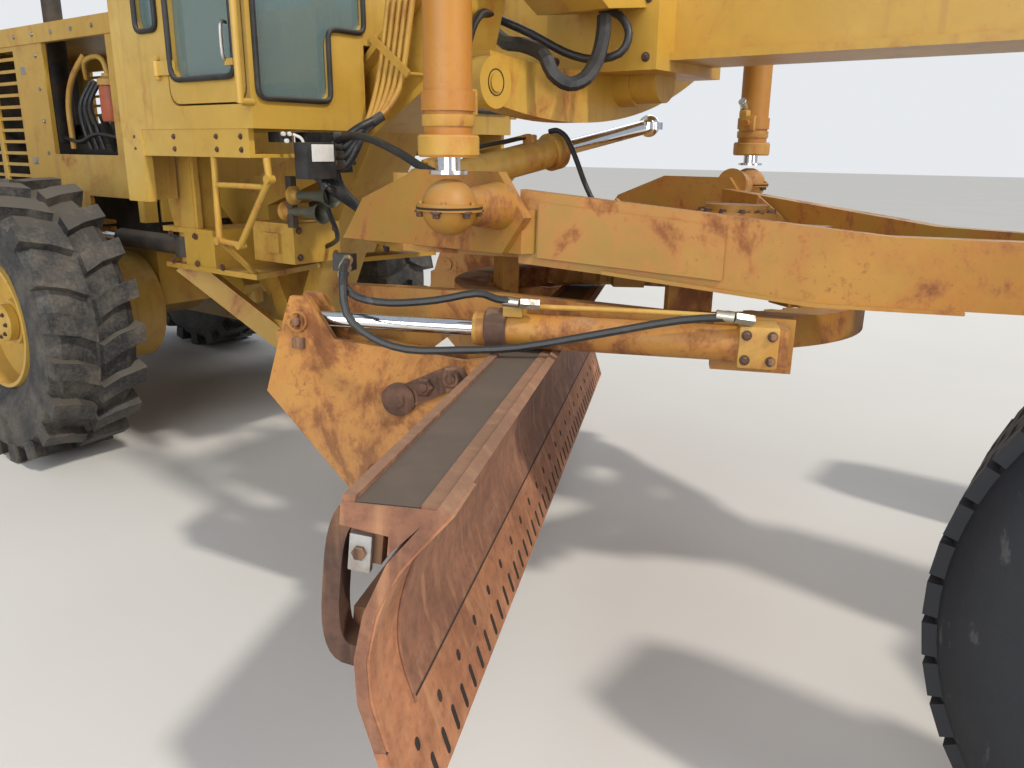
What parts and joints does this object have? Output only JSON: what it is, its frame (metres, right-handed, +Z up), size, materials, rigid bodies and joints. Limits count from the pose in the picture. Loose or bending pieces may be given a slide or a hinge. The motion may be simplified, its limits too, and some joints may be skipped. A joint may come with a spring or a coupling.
{
  "type": "motor grader",
  "caption": "Articulated motor grader with tandem rear wheels, leaning steered front wheels, a cab and an angled blade carried by a drawbar and circle.",
  "frame": {"origin": "middle of the bounding box on the ground", "axes": "+X forward, +Y to the machine's left, +Z up"},
  "size_m": [7.985, 3.3794, 3.2995],
  "materials": {
    "yellow_paint": "faded machine yellow with rust",
    "yellow_cast": "yellow casting",
    "yellow_rim": "yellow rim",
    "orange_paint": "faded orange paint",
    "rusty_paint": "yellow paint worn to rust",
    "rusted_steel": "red brown surface rust",
    "worn_edge": "rusty worn steel",
    "bare_steel": "bare steel",
    "dark_iron": "oily dark iron",
    "chrome": "polished rod",
    "tyre": "dark dusty rubber",
    "black_rubber": "black hose rubber",
    "dark_trim": "dark trim",
    "glass": "blue grey glass"
  },
  "bodies": {
    "rear_frame": {"rear_frame": "yellow_paint", "hood": "yellow_paint", "engine": "dark_iron"},
    "front_frame": {"front_frame": "yellow_paint", "cab_shell": "yellow_paint", "cab_glass": "glass", "cab_interior": "dark_trim", "valve_bank": "black_rubber", "front_axle": "yellow_paint"},
    "wheel_rear_1_right": {"tyre_rear_1_right": "tyre", "rim_rear_1_right": "yellow_rim"},
    "wheel_rear_1_left": {"tyre_rear_1_left": "tyre", "rim_rear_1_left": "yellow_rim"},
    "wheel_rear_2_right": {"tyre_rear_2_right": "tyre", "rim_rear_2_right": "yellow_rim"},
    "wheel_rear_2_left": {"tyre_rear_2_left": "tyre", "rim_rear_2_left": "yellow_rim"},
    "wheel_front_right": {"tyre_front_right": "tyre", "rim_front_right": "yellow_rim"},
    "yoke_right": {"yoke_right": "yellow_cast"},
    "knuckle_right": {"knuckle_right": "yellow_cast"},
    "door_right": {"door_right": "yellow_paint"},
    "lift_barrel_right": {"lift_barrel_right": "orange_paint"},
    "lift_rod_right": {"lift_rod_right": "chrome"},
    "artic_barrel_right": {"artic_barrel_right": "yellow_paint"},
    "artic_rod_right": {"artic_rod_right": "chrome"},
    "wheel_front_left": {"tyre_front_left": "tyre", "rim_front_left": "yellow_rim"},
    "yoke_left": {"yoke_left": "yellow_cast"},
    "knuckle_left": {"knuckle_left": "yellow_cast"},
    "door_left": {"door_left": "yellow_paint"},
    "lift_barrel_left": {"lift_barrel_left": "orange_paint"},
    "lift_rod_left": {"lift_rod_left": "chrome"},
    "artic_barrel_left": {"artic_barrel_left": "yellow_paint"},
    "artic_rod_left": {"artic_rod_left": "chrome"},
    "drawbar_ball": {"drawbar_ball": "bare_steel"},
    "drawbar": {"drawbar": "yellow_paint"},
    "circle": {"circle": "yellow_paint", "tip_hoses": "black_rubber"},
    "tip_bracket": {"tip_bracket": "rusty_paint"},
    "moldboard": {"moldboard": "rusted_steel", "cutting_edge": "worn_edge"},
    "shift_barrel": {"shift_barrel": "yellow_paint"},
    "shift_rod": {"shift_rod": "chrome"},
    "tip_barrel": {"tip_barrel": "rusty_paint"},
    "tip_rod": {"tip_rod": "chrome"}
  },
  "joints": [
    {"name": "articulation", "type": "hinge", "parent": "rear_frame", "child": "front_frame", "pos_m": [-1.15, 0.33, 0.9], "axis": [0, 0, -1], "range_deg": [-20, 20]},
    {"name": "spin_rear_1_right", "type": "hinge", "parent": "rear_frame", "child": "wheel_rear_1_right", "pos_m": [-1.6, -0.7, 0.69], "axis": [0, 1, 0], "continuous": true},
    {"name": "spin_rear_1_left", "type": "hinge", "parent": "rear_frame", "child": "wheel_rear_1_left", "pos_m": [-1.6, 1.36, 0.69], "axis": [0, 1, 0], "continuous": true},
    {"name": "spin_rear_2_right", "type": "hinge", "parent": "rear_frame", "child": "wheel_rear_2_right", "pos_m": [-3.12, -0.7, 0.69], "axis": [0, 1, 0], "continuous": true},
    {"name": "spin_rear_2_left", "type": "hinge", "parent": "rear_frame", "child": "wheel_rear_2_left", "pos_m": [-3.12, 1.36, 0.69], "axis": [0, 1, 0], "continuous": true},
    {"name": "lean_right", "type": "hinge", "parent": "front_frame", "child": "yoke_right", "pos_m": [3.3, -0.415, 0.52], "axis": [1, 0, 0], "range_deg": [-18, 18]},
    {"name": "steer_right", "type": "hinge", "parent": "yoke_right", "child": "knuckle_right", "pos_m": [3.3, -0.52, 0.69], "axis": [0, 0, -1], "range_deg": [-45, 45]},
    {"name": "spin_front_right", "type": "hinge", "parent": "knuckle_right", "child": "wheel_front_right", "pos_m": [3.3, -0.7, 0.69], "axis": [0, 1, 0], "continuous": true},
    {"name": "door_right", "type": "hinge", "parent": "front_frame", "child": "door_right", "pos_m": [-0.55, -0.504, 2.3], "axis": [0, 0, -1], "range_deg": [0, 95]},
    {"name": "lean_left", "type": "hinge", "parent": "front_frame", "child": "yoke_left", "pos_m": [3.3, 1.075, 0.52], "axis": [1, 0, 0], "range_deg": [-18, 18]},
    {"name": "steer_left", "type": "hinge", "parent": "yoke_left", "child": "knuckle_left", "pos_m": [3.3, 1.18, 0.69], "axis": [0, 0, -1], "range_deg": [-45, 45]},
    {"name": "spin_front_left", "type": "hinge", "parent": "knuckle_left", "child": "wheel_front_left", "pos_m": [3.3, 1.36, 0.69], "axis": [0, 1, 0], "continuous": true},
    {"name": "door_left", "type": "hinge", "parent": "front_frame", "child": "door_left", "pos_m": [-0.55, 1.164, 2.3], "axis": [0, 0, 1], "range_deg": [0, 95]},
    {"name": "artic_barrel_right", "type": "hinge", "parent": "front_frame", "child": "artic_barrel_right", "pos_m": [-0.94, -0.2055, 1.065], "axis": [0, 0, 1], "range_deg": [-16.7, 16.7]},
    {"name": "artic_rod_right", "type": "slide", "parent": "artic_barrel_right", "child": "artic_rod_right", "axis": [-0.9993, 0.037, 0], "range_m": [-0.192, 0.192]},
    {"name": "artic_barrel_left", "type": "hinge", "parent": "front_frame", "child": "artic_barrel_left", "pos_m": [-0.94, 0.8655, 1.065], "axis": [0, 0, 1], "range_deg": [-16.7, 16.7]},
    {"name": "artic_rod_left", "type": "slide", "parent": "artic_barrel_left", "child": "artic_rod_left", "axis": [-0.9993, -0.037, 0], "range_m": [-0.192, 0.192]},
    {"name": "drawbar_yaw", "type": "hinge", "parent": "front_frame", "child": "drawbar_ball", "pos_m": [3, 0.33, 1.1], "axis": [0, -0.0314, -0.9995], "range_deg": [-8, 8]},
    {"name": "drawbar_lift", "type": "hinge", "parent": "drawbar_ball", "child": "drawbar", "pos_m": [3, 0.33, 1.1], "axis": [0, 0.9995, -0.0314], "range_deg": [-10, 1]},
    {"name": "lift_barrel_right", "type": "hinge", "parent": "front_frame", "child": "lift_barrel_right", "pos_m": [1.28, -0.77, 2.16], "axis": [1, 0, 0], "range_deg": [-18.2, 18.2]},
    {"name": "lift_rod_right", "type": "slide", "parent": "lift_barrel_right", "child": "lift_rod_right", "axis": [0, 0, 1], "range_m": [-0.32, 0.04]},
    {"name": "lift_barrel_left", "type": "hinge", "parent": "front_frame", "child": "lift_barrel_left", "pos_m": [1.28, 1.43, 2.16], "axis": [1, 0, 0], "range_deg": [-18.2, 18.2]},
    {"name": "lift_rod_left", "type": "slide", "parent": "lift_barrel_left", "child": "lift_rod_left", "axis": [0, 0, 1], "range_m": [-0.32, 0.04]},
    {"name": "shift_barrel", "type": "hinge", "parent": "drawbar", "child": "shift_barrel", "pos_m": [0.74, -0.37, 1.4], "axis": [0, 0, 1], "range_deg": [-2.2, 2.2]},
    {"name": "shift_rod", "type": "slide", "parent": "shift_barrel", "child": "shift_rod", "axis": [0.2823, 0.9384, 0.1993], "range_m": [-0.3, 0.3]},
    {"name": "circle_turn", "type": "hinge", "parent": "drawbar", "child": "circle", "pos_m": [1.36, 0.32654, 0.99005], "axis": [0, 0.0314, 0.9995], "range_deg": [-70, 19]},
    {"name": "blade_tip", "type": "hinge", "parent": "circle", "child": "tip_bracket", "pos_m": [0.63914, -0.03497, 0.53118], "axis": [-0.4337, 0.9006, -0.0283], "range_deg": [0, 40]},
    {"name": "blade_side_shift", "type": "slide", "parent": "tip_bracket", "child": "moldboard", "axis": [-0.4337, 0.9006, -0.0283], "range_m": [-0.42, 0.75]},
    {"name": "tip_barrel", "type": "hinge", "parent": "circle", "child": "tip_barrel", "pos_m": [2.03281, -0.28696, 1.01434], "axis": [-0.4337, 0.9006, -0.0283], "range_deg": [-10, 10]},
    {"name": "tip_rod", "type": "slide", "parent": "tip_barrel", "child": "tip_rod", "axis": [-0.9011, -0.4336, 0.01], "range_m": [-0.4, 0.1]}
  ],
  "couplings": [
    {"joint": "lean_left", "follows": "lean_right", "ratio": 1},
    {"joint": "steer_left", "follows": "steer_right", "ratio": 1},
    {"joint": "artic_barrel_right", "follows": "articulation", "ratio": 0.77298},
    {"joint": "artic_rod_right", "follows": "articulation", "m_per_rad": -0.52241},
    {"joint": "artic_barrel_left", "follows": "articulation", "ratio": 0.77298},
    {"joint": "artic_rod_left", "follows": "articulation", "m_per_rad": 0.52241},
    {"joint": "lift_barrel_right", "follows": "drawbar_yaw", "ratio": 2.1452},
    {"joint": "lift_rod_right", "follows": "drawbar_lift", "m_per_rad": 1.746},
    {"joint": "lift_barrel_left", "follows": "drawbar_yaw", "ratio": 2.1452},
    {"joint": "lift_rod_left", "follows": "drawbar_lift", "m_per_rad": 1.746},
    {"joint": "shift_barrel", "follows": "drawbar_yaw", "ratio": -0.15425},
    {"joint": "shift_rod", "follows": "drawbar_yaw", "m_per_rad": -1.912},
    {"joint": "tip_barrel", "follows": "blade_tip", "ratio": 0.0779},
    {"joint": "tip_rod", "follows": "blade_tip", "m_per_rad": -0.50784}
  ]
}
